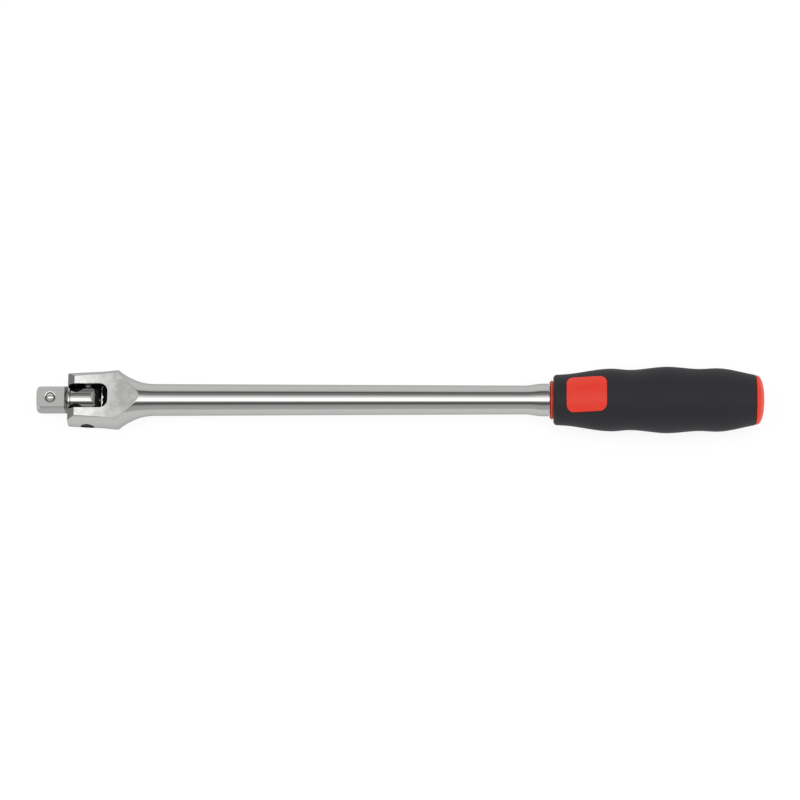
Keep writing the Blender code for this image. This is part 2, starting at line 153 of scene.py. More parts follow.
# Handle
FRONT_RING_R = 10.7 * MM
FRONT_RING_ROUND = 0.25 * MM
SEAM_DEPTH = 0.5 * MM
SEAM_WIDTH = 0.6 * MM
FRONT_RING_END = GRIP_LOW.x - 0.4 * MM
CORE_R = 10.3 * MM
CORE_BORE_R = 7.9 * MM
CORE_END_BORE_R = CORE_BORE_R - 2.4 * MM
TANG_ROOM = 1.5 * MM
GRIP_FRONT_R = 13.9 * MM
GRIP_FRONT_CORNER = 2.0 * MM
GRIP_REAR_CORNER = 0.5 * MM
CAP_SOCKET_R = 6.4 * MM
CAP_SOCKET_FLOOR = 379.0 * MM
SPIGOT_R = 6.1 * MM
SPIGOT_CHAMFER = 0.8 * MM
CAP_FACE = GRIP_HIGH.x + 0.15 * MM
CAP_LIP = 0.25 * MM
CAP_DOME_POWER = 2.2
CAP_DOME_STEPS = 28
PAD_X = (291.5 * MM, 313.5 * MM)
PAD_HALF_WIDTH = 9.9 * MM
PAD_CORNER_R = 4.0 * MM
PAD_GAP = 0.12 * MM

# Curves through stations of (x, radius, slope)
GRIP_STATIONS = (
    (289.0 * MM, 14.05 * MM, 0.04),
    (316.4 * MM, 17.27 * MM, 0.0),
    (326.3 * MM, 16.6 * MM, 0.0),
    (346.7 * MM, 18.28 * MM, 0.0),
    (364.8 * MM, 17.07 * MM, 0.0),
    (373.6 * MM, 17.46 * MM, 0.0),
    (GRIP_HIGH.x, 13.8 * MM, -0.17),
)
FORK_STATIONS = (
    (FORK_CREST_X + 0.8 * MM, 15.6 * MM, -0.80),
    (48.0 * MM, 14.1 * MM, -0.66),
    (52.8 * MM, 11.5 * MM, -0.46),
    (58.0 * MM, 9.6 * MM, -0.24),
    (NECK_X, NECK_R, -0.02),
)

# Pin, retaining rings and plunger
PIN_CHAMFER = 0.5 * MM
PIN_DIMPLE_R = 1.3 * MM
RING_WIDTH = 1.4 * MM
RING_GAP_DEG = 50
RING_STEPS = 60
PLUNGER_CHAMFER = 0.3 * MM

# Springs
SPRING_WIRE_R = 0.3 * MM
SPRING_PITCH = 1.25 * MM
SPRING_STEPS = 24

# Mesh fineness and the reach of cutting solids
ROUND_STEPS = 128
SMALL_STEPS = 48
MERGE_DISTANCE = 0.07 * MM
FLAT_ANGLE = math.radians(0.3)
CUT_REACH = 40.0 * MM

# A face or corner this near to a surface counts as lying on it
TOUCH = 0.02 * MM


# ---------------------------------------------------------------- mesh helpers


def lathe(outline, steps=ROUND_STEPS, closed=False):
    """Turns (x, radius) points about X. A closed outline is a ring; an open one ends on the axis."""
    bm = bmesh.new()
    rings = []
    for x, radius in outline:
        if radius == 0.0:
            rings.append([bm.verts.new((x, 0.0, 0.0))])
            continue
        angles = [2 * math.pi * step / steps for step in range(steps)]
        rings.append([bm.verts.new((x, radius * math.cos(a), radius * math.sin(a))) for a in angles])
    pairs = list(zip(rings, rings[1:]))
    if closed:
        pairs.append((rings[-1], rings[0]))
    for first, second in pairs:
        for step in range(steps):
            after = (step + 1) % steps
            corners = [first[step % len(first)], first[after % len(first)]]
            corners += [second[after % len(second)], second[step % len(second)]]
            bm.faces.new(list(dict.fromkeys(corners)))
    return bm


def prism(outline, low, high, to_world):
    """Extrudes a flat outline from low to high along its third axis, then places it with a matrix."""
    bm = bmesh.new()
    bottom = bm.faces.new([bm.verts.new((u, v, low)) for u, v in outline])
    made = bmesh.ops.extrude_face_region(bm, geom=[bottom])
    top = [item for item in made["geom"] if isinstance(item, bmesh.types.BMVert)]
    bmesh.ops.translate(bm, verts=top, vec=(0.0, 0.0, high - low))
    bmesh.ops.transform(bm, matrix=to_world, verts=bm.verts)
    return bm


ALONG_Z = Matrix.Identity(4)
ALONG_Y = Matrix(((1, 0, 0, 0), (0, 0, 1, 0), (0, 1, 0, 0), (0, 0, 0, 1)))
X_TO_Y = Matrix.Rotation(math.pi / 2, 4, "Z")
X_TO_Z = Matrix.Rotation(-math.pi / 2, 4, "Y")


def arc(center, radius, start_deg, end_deg, steps):
    angles = [math.radians(start_deg + (end_deg - start_deg) * i / steps) for i in range(steps + 1)]
    return [(center[0] + radius * math.cos(a), center[1] + radius * math.sin(a)) for a in angles]


def rounded_rectangle(low_x, high_x, half_width, corner_r, steps=12):
    points = arc((high_x - corner_r, half_width - corner_r), corner_r, 0, 90, steps)
    points += arc((low_x + corner_r, half_width - corner_r), corner_r, 90, 180, steps)
    points += arc((low_x + corner_r, corner_r - half_width), corner_r, 180, 270, steps)
    points += arc((high_x - corner_r, corner_r - half_width), corner_r, 270, 360, steps)
    return points


def smooth_radius(stations, x):
    """Radius on a smooth curve through stations of (x, radius, slope)."""
    for (x0, r0, s0), (x1, r1, s1) in zip(stations, stations[1:]):
        if x0 <= x <= x1:
            length = x1 - x0
            t = (x - x0) / length
            value = (2 * t**3 - 3 * t**2 + 1) * r0 + (3 * t**2 - 2 * t**3) * r1
            return value + length * ((t**3 - 2 * t**2 + t) * s0 + (t**3 - t**2) * s1)
    raise ValueError("x lies outside the outline")


def sampled(stations, spacing):
    """Points along the smooth curve through the stations, about a spacing apart."""
    low = stations[0][0]
    high = stations[-1][0]
    count = max(2, round((high - low) / spacing))
    places = [low + (high - low) * i / count for i in range(count)] + [high]
    return [(x, smooth_radius(stations, x)) for x in places]


def turned(outline, center_x, direction):
    """A small round solid on a cross axis at center_x; the direction matrix turns X to that axis."""
    bm = lathe(outline, SMALL_STEPS)
    bmesh.ops.transform(bm, matrix=Matrix.Translation((center_x, 0.0, 0.0)) @ direction, verts=bm.verts)
    return bm


def as_object(bm, name):
    bmesh.ops.recalc_face_normals(bm, faces=bm.faces)
    mesh = bpy.data.meshes.new(name)
    bm.to_mesh(mesh)
    bm.free()
    obj = bpy.data.objects.new(name, mesh)
    bpy.context.collection.objects.link(obj)
    return obj


def taken_back(obj):
    """The object's mesh as a bmesh; the object itself is removed."""
    bm = bmesh.new()
    bm.from_mesh(obj.data)
    bpy.data.objects.remove(obj, do_unlink=True)
    return bm


def combine(obj, bm, operation="DIFFERENCE"):
    """Applies one Boolean with a throwaway helper."""
    helper = as_object(bm, "helper")
    modifier = obj.modifiers.new("combine", "BOOLEAN")
    modifier.operation = operation
    modifier.solver = "MANIFOLD"
    modifier.object = helper
    apply_modifiers(obj)
    bpy.data.objects.remove(helper, do_unlink=True)


def apply_modifiers(obj):
    graph = bpy.context.evaluated_depsgraph_get()
    mesh = bpy.data.meshes.new_from_object(obj.evaluated_get(graph))
    obj.modifiers.clear()
    old = obj.data
    obj.data = mesh
    bpy.data.meshes.remove(old)


def soften(obj, width, angle_deg=24, segments=2, chosen=None):
    """Rounds the chosen edges sharper than the angle, and keeps flat faces flat in the shading."""
    bm = bmesh.new()
    bm.from_mesh(obj.data)
    bmesh.ops.remove_doubles(bm, verts=bm.verts, dist=MERGE_DISTANCE)
    bmesh.ops.dissolve_limit(bm, angle_limit=FLAT_ANGLE, verts=bm.verts, edges=bm.edges)
    limit = math.radians(angle_deg)
    sharp = [e for e in bm.edges if len(e.link_faces) == 2 and e.calc_face_angle(0.0) > limit]
    if chosen is not None:
        sharp = [e for e in sharp if all(chosen(vert.co) for vert in e.verts)]
    bmesh.ops.bevel(
        bm,
        geom=sharp,
        offset=width,
        offset_type="OFFSET",
        segments=segments,
        profile=0.5,
        affect="EDGES",
        clamp_overlap=True,
    )
    bm.to_mesh(obj.data)
    bm.free()
    smooth(obj)


def smooth(obj):
    obj.modifiers.clear()
    obj.data.shade_smooth()
    weighted = obj.modifiers.new("weighted normals", "WEIGHTED_NORMAL")
    weighted.mode = "FACE_AREA"
    weighted.weight = 80
    weighted.keep_sharp = False


def placed(obj, body, node, slot, *materials):
    """Gives a finished piece its materials and its body, and hides the CAD node it stands for; the slot
    argument is not used.
    """
    obj.data.materials.clear()
    for material in materials:
        obj.data.materials.append(material)
    obj.data.polygons.foreach_set("material_index", [0] * len(obj.data.polygons))
    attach(obj, body)
    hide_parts(node)


# ---------------------------------------------------------------- materials


class Nodes:
    """A material's node tree with short calls to add and link nodes."""

    def __init__(self, name):
        self.material = bpy.data.materials.new(name)
        self.material.use_nodes = True
        self.tree = self.material.node_tree
        self.shader = self.tree.nodes["Principled BSDF"]
        self.place = self.add("ShaderNodeTexCoord").outputs["Object"]

    def add(self, kind, inputs=None, **settings):
        node = self.tree.nodes.new(kind)
        for key, value in settings.items():
            setattr(node, key, value)
        for key, value in (inputs or {}).items():
            if isinstance(value, bpy.types.NodeSocket):
                self.tree.links.new(value, node.inputs[key])
            else:
                node.inputs[key].default_value = value
        return node

    def stretched(self, scale):
        return self.add("ShaderNodeMapping", {"Vector": self.place, "Scale": scale}).outputs["Vector"]

    def noise(self, scale, detail=3.0, vector=None, roughness=0.5):
        settings = {"Vector": vector or self.place, "Scale": scale}
        settings.update({"Detail": detail, "Roughness": roughness})
        return self.add("ShaderNodeTexNoise", settings).outputs["Fac"]

    def between(self, value, low, high):
        """Maps a texture's useful middle range to low..high."""
        settings = {"Value": value, "From Min": 0.3, "From Max": 0.7, "To Min": low, "To Max": high}
        return self.add("ShaderNodeMapRange", settings).outputs["Result"]

    def ramp_up(self, value, middle):
        """Rises from 0 to 1 where the value passes the middle."""
        settings = {"Value": value, "From Min": middle - BAND_BLUR, "From Max": middle + BAND_BLUR}
        return self.add("ShaderNodeMapRange", settings).outputs["Result"]

    def bump(self, height, strength, distance, normal=None):
        settings = {"Height": height, "Strength": strength, "Distance": distance}
        if normal is not None:
            settings["Normal"] = normal
        return self.add("ShaderNodeBump", settings).outputs["Normal"]

    def tint(self, factor, first, second):
        mix = self.add("ShaderNodeMix", {"Factor": factor}, data_type="RGBA")
        mix.inputs["A"].default_value = (*first, 1.0)
        mix.inputs["B"].default_value = (*second, 1.0)
        return mix.outputs["Result"]

    def put(self, **inputs):
        for key, value in inputs.items():
            socket = self.shader.inputs[key.replace("_", " ")]
            if isinstance(value, bpy.types.NodeSocket):
                self.tree.links.new(value, socket)
            elif isinstance(value, tuple) and len(value) == 3:
                socket.default_value = (*value, 1.0)
            else:
                socket.default_value = value
        return self.material


# Chrome: colour of plain plating, painted shade for the drive's shoulder (a dark reflection), and colour
# of ground flats: their own dull colour and painted light towards the fork's front
PLATING = ((0.465, 0.465, 0.455), (0.495, 0.495, 0.485))
PLATING_MIDDLE = (0.48, 0.48, 0.47)
# Painted shade: the shoulder's dark reflection painted into the plating colour
SHOULDER_PAINTED_SHADE = (0.15, 0.15, 0.147)
GROUND_DULL = (0.47, 0.47, 0.455)
# Painted light on the ground flats: their colour near the fork's front, fading out by the next value
FLAT_PAINTED_LIGHT = (0.98, 0.98, 0.965)
FLAT_PAINTED_LIGHT_END = 52.0 * MM
# Tint of the chrome's reflections at a slant, its roughness, and half the fade at the edge of the
# shoulder's painted shade band
GRAZING_TINT = (0.60, 0.60, 0.60)
POLISH = (0.05, 0.09)
BAND_BLUR = 0.1 * MM


def polished_chrome():
    """Mirror plating with a faint polishing grain and slow waviness from the forging under it."""
    m = Nodes("polished_chrome")
    grain = m.noise(900.0, 4.0, m.stretched((0.08, 1.0, 1.0)))
    cloud = m.noise(120.0, 3.0)
    wave = m.bump(m.noise(45.0, 1.0), 0.05, 0.0006)
    fine = m.bump(grain, 0.02, 0.00005, wave)
    color = m.tint(cloud, *PLATING)
    m.put(Base_Color=color, Metallic=1.0, Roughness=m.between(cloud, *POLISH), Normal=fine)
    return m.put(Specular_Tint=GRAZING_TINT)


def drive_chrome():
    """Polished plating with painted shade: darker in the shoulder between the square and the collar, where
    a dark reflection is painted into the colour.
    """
    m = Nodes("drive_chrome")
    cloud = m.noise(120.0, 3.0)
    fine = m.bump(m.noise(900.0, 4.0), 0.02, 0.00005)
    parts = m.add("ShaderNodeSeparateXYZ", {"Vector": m.place})
    enter = m.ramp_up(parts.outputs["X"], SHOULDER_START)
    leave = m.ramp_up(parts.outputs["X"], SHOULDER_END)
    inside = m.add("ShaderNodeMath", {0: enter, 1: leave}, operation="SUBTRACT")
    uneven = {0: inside.outputs["Value"], 1: m.between(cloud, 0.92, 1.0)}
    shade = m.add("ShaderNodeMath", uneven, operation="MULTIPLY")
    # The shoulder mask paints shade into the colour
    color = m.tint(shade.outputs["Value"], PLATING_MIDDLE, SHOULDER_PAINTED_SHADE)
    m.put(Base_Color=color, Metallic=1.0, Roughness=m.between(cloud, *POLISH), Normal=fine)
    return m.put(Specular_Tint=GRAZING_TINT)


def satin_chrome():
    """A ground flat: softer gloss, and painted light that makes it brighter towards the front of the fork.
    """
    m = Nodes("satin_chrome")
    marks = m.noise(1500.0, 4.0, m.stretched((1.0, 0.06, 1.0)))
    cloud = m.noise(260.0, 4.0)
    fine = m.bump(marks, 0.05, 0.00008)
    parts = m.add("ShaderNodeSeparateXYZ", {"Vector": m.place})
    # Painted light: the flat's colour brightens towards the fork's front, with random patches added
    span = {"From Min": FORK_FLAT_START, "From Max": FLAT_PAINTED_LIGHT_END, "To Min": 1.0, "To Max": 0.0}
    span["Value"] = parts.outputs["X"]
    front_painted_light = m.add("ShaderNodeMapRange", span, interpolation_type="SMOOTHSTEP")
    painted_light_and_patches = {0: front_painted_light.outputs["Result"], 1: m.between(cloud, -0.18, 0.18)}
    uneven = m.add("ShaderNodeMath", painted_light_and_patches, operation="ADD")
    color = m.tint(uneven.outputs["Value"], GROUND_DULL, FLAT_PAINTED_LIGHT)
    m.put(Base_Color=color, Metallic=1.0, Roughness=m.between(cloud, 0.20, 0.28), Normal=fine)
    return m.put(Specular_Tint=GRAZING_TINT)


def bare_steel(name, color, roughness, edge=1.0):
    """Bare steel, uneven in gloss; a low edge value keeps it dark when it is seen at a slant."""
    m = Nodes(name)
    cloud = m.noise(500.0, 4.0)
    low, high = (tuple(part * factor for part in color) for factor in (0.7, 1.2))
    fine = m.bump(m.noise(2500.0, 2.0), 0.1, 0.00005)
    roughness = m.between(cloud, roughness * 0.8, roughness * 1.25)
    m.put(Base_Color=m.tint(cloud, low, high), Metallic=1.0, Roughness=roughness, Normal=fine)
    return m.put(Specular_Tint=(edge, edge, edge, 1.0))


def red_plastic(name, color):
    """Glossy moulded plastic with slow changes in colour; the darker one is painted shade in the seam at
    the ring.
    """
    m = Nodes(name)
    cloud = m.noise(150.0, 3.0)
    fine = m.bump(m.noise(3500.0, 2.0), 0.08, 0.00005)
    low, high = (tuple(part * factor for part in color) for factor in (0.94, 1.06))
    m.put(Base_Color=m.tint(cloud, low, high), Roughness=m.between(cloud, 0.42, 0.50), Normal=fine)
    return m.put(Specular_IOR_Level=0.3)


def black_rubber():
    """Soft moulded sleeve with an even, fine grain."""
    m = Nodes("black_rubber")
    cloud = m.noise(60.0, 4.0)
    grain = m.bump(m.noise(2600.0, 3.0, roughness=0.6), 0.25, 0.0001)
    color = m.tint(cloud, (0.0165, 0.0158, 0.0200), (0.0205, 0.0198, 0.0245))
    m.put(Base_Color=color, Roughness=m.between(cloud, 0.62, 0.72), Normal=grain)
    return m.put(Specular_IOR_Level=0.3)


CHROME = polished_chrome()
SATIN = satin_chrome()
DRIVE_CHROME = drive_chrome()
# Bare steel darkened to near black inside the slot, the bores and the pin hole: painted shade for the
# recesses
RECESS_SHADE = bare_steel("recess_painted_shade", (0.035, 0.035, 0.033), 0.45, edge=0.1)
SPRING_STEEL = bare_steel("spring_steel", (0.24, 0.24, 0.24), 0.30)
BEARING_STEEL = bare_steel("bearing_steel", (0.70, 0.69, 0.65), 0.12)
RED = red_plastic("red_plastic", (0.84, 0.046, 0.024))
# Dark red painted shade for the seam step at the front ring
SEAM_PAINTED_SHADE = red_plastic("red_seam_painted_shade", (0.16, 0.008, 0.008))
RUBBER = black_rubber()


# ---------------------------------------------------------------- bar


def bar_outline():
    """Ears, waist, tapered shank, flare and tang, from the front to the back."""
    outline = [(FORK_FRONT, 0.0)] + list(EAR_STATIONS)
    outline += sampled(FORK_STATIONS, 0.9 * MM)
    outline.append((SHANK_END, SHANK_END_R))
    for step in range(1, FLARE_STEPS + 1):
        ease = (1 - math.cos(math.pi * step / FLARE_STEPS)) / 2
        x = SHANK_END + (FLARE_END - SHANK_END) * step / FLARE_STEPS
        outline.append((x, SHANK_END_R + ease * (FLARE_R - SHANK_END_R)))
    outline += [(BAR_SHOULDER, FLARE_R), (BAR_SHOULDER, TANG_R), (TANG_END, TANG_R), (TANG_END, 0.0)]
    return outline


def fork_flat_cutter(side):
    """Cuts one flat of the fork and the slope in front of it; the side is 1 above and -1 below."""
    slope = FORK_BEVEL_DROP / (FORK_FLAT_START - FORK_FRONT)
    ahead = 5.0 * MM
    front_z = FORK_FLAT_Z - FORK_BEVEL_DROP - slope * ahead
    rear = NECK_X + ahead
    outline = [(FORK_FRONT - ahead, side * front_z), (FORK_FLAT_START, side * FORK_FLAT_Z)]
    outline += [(rear, side * FORK_FLAT_Z), (rear, side * CUT_REACH)]
    outline.append((FORK_FRONT - ahead, side * CUT_REACH))
    return prism(outline, -CUT_REACH, CUT_REACH, ALONG_Y)


def slot_cutter():
    """The slot as a solid: straight sides, rounded rear corners, and a wedge-shaped end from the side."""
    corner = SLOT_HALF_WIDTH - SLOT_CORNER_R
    front = FORK_FRONT - 5.0 * MM
    corner_steps = 14
    reach = 1.2 * CUT_REACH
    outline = [(front, SLOT_HALF_WIDTH), (front, -SLOT_HALF_WIDTH)]
    outline += arc((SLOT_END - SLOT_CORNER_R, -corner), SLOT_CORNER_R, -90, 0, corner_steps)
    outline += arc((SLOT_END - SLOT_CORNER_R, corner), SLOT_CORNER_R, 0, 90, corner_steps)
    slot = as_object(prism(outline, -CUT_REACH, CUT_REACH, ALONG_Z), "slot")
    slope = (SLOT_END - SLOT_APEX) / FORK_FLAT_Z
    far = SLOT_APEX + slope * reach
    side = [(0.0, -reach), (far, -reach), (SLOT_APEX, 0.0), (far, reach), (0.0, reach)]
    combine(slot, prism(side, -CUT_REACH, CUT_REACH, ALONG_Y), "INTERSECT")
    return taken_back(slot)


def pin_hole_cutter():
    outline = [(-CUT_REACH, 0.0), (-CUT_REACH, PIN_HOLE_R), (CUT_REACH, PIN_HOLE_R), (CUT_REACH, 0.0)]
    return turned(outline, PIVOT_X, X_TO_Y)


def on_flat_rim(place):
    """True on the outer rim of the fork's two ground flats, away from the slot."""
    near_flat = abs(abs(place.z) - FORK_FLAT_Z) < TOUCH
    beside_slot = abs(place.y) > SLOT_HALF_WIDTH + 0.1 * MM
    return near_flat and (beside_slot or place.x > SLOT_END + MM)


def make_bar():
    bar = as_object(lathe(bar_outline()), "bar_forging")
    combine(bar, fork_flat_cutter(1))
    combine(bar, fork_flat_cutter(-1))
    combine(bar, slot_cutter())
    combine(bar, pin_hole_cutter())
    in_slot_x = SLOT_APEX - SLOT_CORNER_R
    bore = [(in_slot_x, 0.0), (in_slot_x, PLUNGER_BORE_R)]
    bore += [(PLUNGER_BORE_END, PLUNGER_BORE_R), (PLUNGER_BORE_END + DRILL_POINT, 0.0)]
    combine(bar, lathe(bore, SMALL_STEPS))
    soften(bar, FLAT_EDGE_R, angle_deg=12, segments=4, chosen=on_flat_rim)
    soften(bar, 0.2 * MM)
    placed(bar, "bar", "bar", "polished_chrome", CHROME, SATIN, RECESS_SHADE)
    satin, recess_shade = 1, 2
    edge = 0.3 * MM
    for face in bar.data.polygons:
        center = face.center
        flat = abs(face.normal.z) > 0.999 and abs(center.z) > FORK_FLAT_Z - edge
        in_slot = abs(center.y) < SLOT_HALF_WIDTH - edge and center.x < SLOT_END + TOUCH
        inside = abs(center.z) < FORK_FLAT_Z - edge and center.x > FORK_FRONT + edge
        bored = math.hypot(center.x - PIVOT_X, center.z) < PIN_HOLE_R + TOUCH
        if flat:
            face.material_index = satin
        # Faces inside the slot and the pin hole get the near-black steel: painted shade
        elif inside and (in_slot or bored):
            face.material_index = recess_shade


# ---------------------------------------------------------------- drive


def square_shank():
    """The square, its rounded end and the start of the shoulder, turned to its corners' radius."""
    blank = [(0.0, 0.0), (0.0, DRIVE_CORNER_R - DRIVE_END_CHAMFER)]
    blank += [(END_BULGE[0], DRIVE_CORNER_R - END_BULGE[1])]
    blank += [(DRIVE_END_CHAMFER, DRIVE_CORNER_R), (SHOULDER_START, DRIVE_CORNER_R)]
    blank.append((SHOULDER_START + SHOULDER_LAP, DRIVE_CORNER_R))
    blank.append((SHOULDER_END - SHOULDER_LAP, COLLAR_R - 0.4 * MM))
    blank.append((SHOULDER_END - SHOULDER_LAP, 0.0))
    shank = as_object(lathe(blank), "drive_forging")
    square = [(-DRIVE_HALF, -DRIVE_HALF), (DRIVE_HALF, -DRIVE_HALF)]
    square += [(DRIVE_HALF, DRIVE_HALF), (-DRIVE_HALF, DRIVE_HALF)]
    combine(shank, prism(square, -CUT_REACH, CUT_REACH, X_TO_Z), "INTERSECT")
    return shank


def add_collar_and_knuckle(drive):
    """Joins the round rear on, then rounds its end about the pin and flattens its two cheeks."""
    overlap = 1.0 * MM
    slope = (COLLAR_R - DRIVE_HALF) / (SHOULDER_END - SHOULDER_START)
    past_end = PIVOT_X + CUT_REACH
    rear = [(SHOULDER_START - overlap, 0.0), (SHOULDER_START - overlap, DRIVE_HALF - slope * overlap)]
    rear += [(SHOULDER_END, COLLAR_R), (COLLAR_END, COLLAR_R), (COLLAR_END + COLLAR_CHAMFER, KNUCKLE_R)]
    rear += [(past_end, KNUCKLE_R), (past_end, 0.0)]
    combine(drive, lathe(rear), "UNION")
    side = [(-CUT_REACH, CUT_REACH), (-CUT_REACH, -CUT_REACH), (PIVOT_X, -CUT_REACH)]
    side += arc((PIVOT_X, 0.0), KNUCKLE_END_R, -90, 90, 60)
    side.append((PIVOT_X, CUT_REACH))
    combine(drive, prism(side, -CUT_REACH, CUT_REACH, ALONG_Y), "INTERSECT")
    for way in (-1, 1):
        near = way * KNUCKLE_HALF_WIDTH
        far = way * CUT_REACH
        cheek = [(CHEEK_FRONT, near), (past_end, near), (past_end, far), (CHEEK_FRONT, far)]
        combine(drive, prism(cheek, -CUT_REACH, CUT_REACH, ALONG_Z))


def ball_bore_cutter():
    """A blind bore, narrower at the lip that holds the ball in, and a small countersink over it."""
    bore = [(BALL_BORE_FLOOR, 0.0), (BALL_BORE_FLOOR, BALL_BORE_R)]
    bore += [(BALL_LIP_Z - BALL_LIP_HEIGHT, BALL_BORE_R), (BALL_LIP_Z, BALL_LIP_R)]
    bore += [(DRIVE_HALF, BALL_RIM_R), (CUT_REACH, BALL_RIM_R), (CUT_REACH, 0.0)]
    return turned(bore, BALL_CENTER.x, X_TO_Z)


def on_square_edge(place):
    """True on the square's own edges, clear of the ball's bore and of the shoulder."""
    clear_y = BALL_RIM_R + 0.5 * MM
    return place.x < SHOULDER_START - MM and place.y**2 > clear_y**2


def make_drive():
    drive = square_shank()
    add_collar_and_knuckle(drive)
    combine(drive, pin_hole_cutter())
    combine(drive, ball_bore_cutter())
    soften(drive, DRIVE_EDGE_R, segments=4, chosen=on_square_edge)
    soften(drive, 0.15 * MM)
    placed(drive, "drive", "swivel_drive", "polished_chrome", DRIVE_CHROME, RECESS_SHADE)
    recess_shade = 1
    for face in drive.data.polygons:
        center = face.center
        around_ball = math.hypot(center.x - BALL_CENTER.x, center.y)
        deep = BALL_LIP_Z - 0.2 * MM > center.z > BALL_BORE_FLOOR - 0.1 * MM
        # Faces deep in the ball's bore get the near-black steel: painted shade
        if deep and around_ball < BALL_BORE_R + 0.05 * MM:
            face.material_index = recess_shade


# ---------------------------------------------------------------- small steel pieces


def make_ball():
    """The ball that holds a socket on the square."""
    bm = bmesh.new()
    bmesh.ops.create_uvsphere(bm, u_segments=SMALL_STEPS, v_segments=32, radius=BALL_R)
    bmesh.ops.translate(bm, verts=bm.verts, vec=BALL_CENTER)
    ball = as_object(bm, "detent_ball")
    ball.data.shade_smooth()
    placed(ball, "ball", "drive_ball", "bearing_steel", BEARING_STEEL)


def make_pin():
    """The hinge pin, chamfered and dimpled at both ends."""
    low = PIN_LOW.y
    high = PIN_HIGH.y
    dimple = PIN_DIMPLE_R * 0.5
    outline = [(low + dimple, 0.0), (low, PIN_DIMPLE_R)]
    outline += [(low, PIN_R - PIN_CHAMFER), (low + PIN_CHAMFER, PIN_R)]
    outline += [(high - PIN_CHAMFER, PIN_R), (high, PIN_R - PIN_CHAMFER)]
    outline += [(high, PIN_DIMPLE_R), (high - dimple, 0.0)]
    pin = as_object(turned(outline, PIVOT_X, X_TO_Y), "hinge_pin")
    soften(pin, 0.1 * MM)
    placed(pin, "bar", "pivot_pin", "spring_steel", SPRING_STEEL)


def make_pin_rings():
    """Two split rings, one outside each end of the pin."""
    start = RING_GAP_DEG / 2
    end = 360 - start
    for name in ("pin_ring_left", "pin_ring_right"):
        ring_low, ring_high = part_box(name)
        outer_r = (ring_high.z - ring_low.z) / 2
        outline = arc((PIVOT_X, 0.0), outer_r, start, end, RING_STEPS)
        outline += arc((PIVOT_X, 0.0), outer_r - RING_WIDTH, end, start, RING_STEPS)
        ring = as_object(prism(outline, ring_low.y, ring_high.y, ALONG_Y), name + "_clip")
        soften(ring, 0.12 * MM)
        placed(ring, "bar", name, "spring_steel", SPRING_STEEL)


def make_plunger():
    """The pin whose round nose presses on the knuckle."""
    radius = (PLUNGER_HIGH.z - PLUNGER_LOW.z) / 2
    rear = PLUNGER_HIGH.x
    outline = [(PLUNGER_LOW.x, 0.0)] + arc((PLUNGER_LOW.x + radius, 0.0), radius, 172, 90, 12)
    outline += [(rear - PLUNGER_CHAMFER, radius), (rear, radius - PLUNGER_CHAMFER), (rear, 0.0)]
    plunger = as_object(lathe(outline, SMALL_STEPS), "round_nosed_plunger")
    soften(plunger, 0.1 * MM, angle_deg=40)
    placed(plunger, "plunger", "hinge_plunger", "bearing_steel", BEARING_STEEL)


def coil_between(name, low, high, along):
    """A coil of round wire with capped ends that fills the box from low to high, wound about along."""
    length = (high - low).dot(along)
    across = Vector((0.0, 1.0, 0.0))
    third = along.cross(across)
    radius = (high - low).dot(across) / 2 - SPRING_WIRE_R
    curve = bpy.data.curves.new(name, "CURVE")
    curve.dimensions = "3D"
    curve.bevel_depth = SPRING_WIRE_R
    curve.bevel_resolution = 3
    curve.use_fill_caps = True
    steps = round(length / SPRING_PITCH) * SPRING_STEPS
    start = (low + high) / 2 - along * (length / 2 - SPRING_WIRE_R)
    spline = curve.splines.new("POLY")
    spline.points.add(steps)
    for step, point in enumerate(spline.points):
        angle = 2 * math.pi * step / SPRING_STEPS
        rise = (length - 2 * SPRING_WIRE_R) * step / steps
        place = start + along * rise + radius * (across * math.cos(angle) + third * math.sin(angle))
        point.co = (*place, 1.0)
    coil = bpy.data.objects.new(name, curve)
    bpy.context.collection.objects.link(coil)
    mesh = bpy.data.meshes.new_from_object(coil.evaluated_get(bpy.context.evaluated_depsgraph_get()))
    bpy.data.objects.remove(coil, do_unlink=True)
    bm = bmesh.new()
    bm.from_mesh(mesh)
    bmesh.ops.remove_doubles(bm, verts=bm.verts, dist=0.01 * MM)
    bm.to_mesh(mesh)
    bm.free()
    mesh.shade_smooth()
    coil = bpy.data.objects.new(name, mesh)
    bpy.context.collection.objects.link(coil)
    return coil


def make_springs():
    """Each spring is a coil of wire that fills its CAD part's box, on its body."""
    for name, body, joint_name in (
        ("drive_ball_spring", "drive", "ball_press"),
        ("hinge_plunger_spring", "bar", "plunger_press"),
    ):
        low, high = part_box(name)
        along = Vector((0.0, 0.0, 1.0)) if body == "drive" else Vector((1.0, 0.0, 0.0))
        coil = coil_between(name + "_coil", low, high, along)
        placed(coil, body, name, "spring_steel", SPRING_STEEL)
        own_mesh(coil)


# ---------------------------------------------------------------- handle


def grip_outline(inner_r, inset=0.0):
    """Closed outline of the sleeve: bore, rear face, wavy outside, rounded front corner."""
    rear = GRIP_HIGH.x
    rear_r = smooth_radius(GRIP_STATIONS, rear - GRIP_REAR_CORNER)
    outline = [(GRIP_LOW.x, inner_r), (rear, inner_r), (rear, rear_r - GRIP_REAR_CORNER - inset)]
    outline.append((rear - 0.3 * GRIP_REAR_CORNER, rear_r - 0.3 * GRIP_REAR_CORNER - inset))
    waves = sampled(GRIP_STATIONS, 1.2 * MM)
    outside = [point for point in waves if point[0] <= rear - GRIP_REAR_CORNER]
    outline += [(x, radius - inset) for x, radius in reversed(outside)]
    corner = (GRIP_LOW.x + GRIP_FRONT_CORNER, GRIP_FRONT_R - GRIP_FRONT_CORNER)
    outline += [(x, radius - inset) for x, radius in arc(corner, GRIP_FRONT_CORNER, 90, 180, 8)]
    return outline


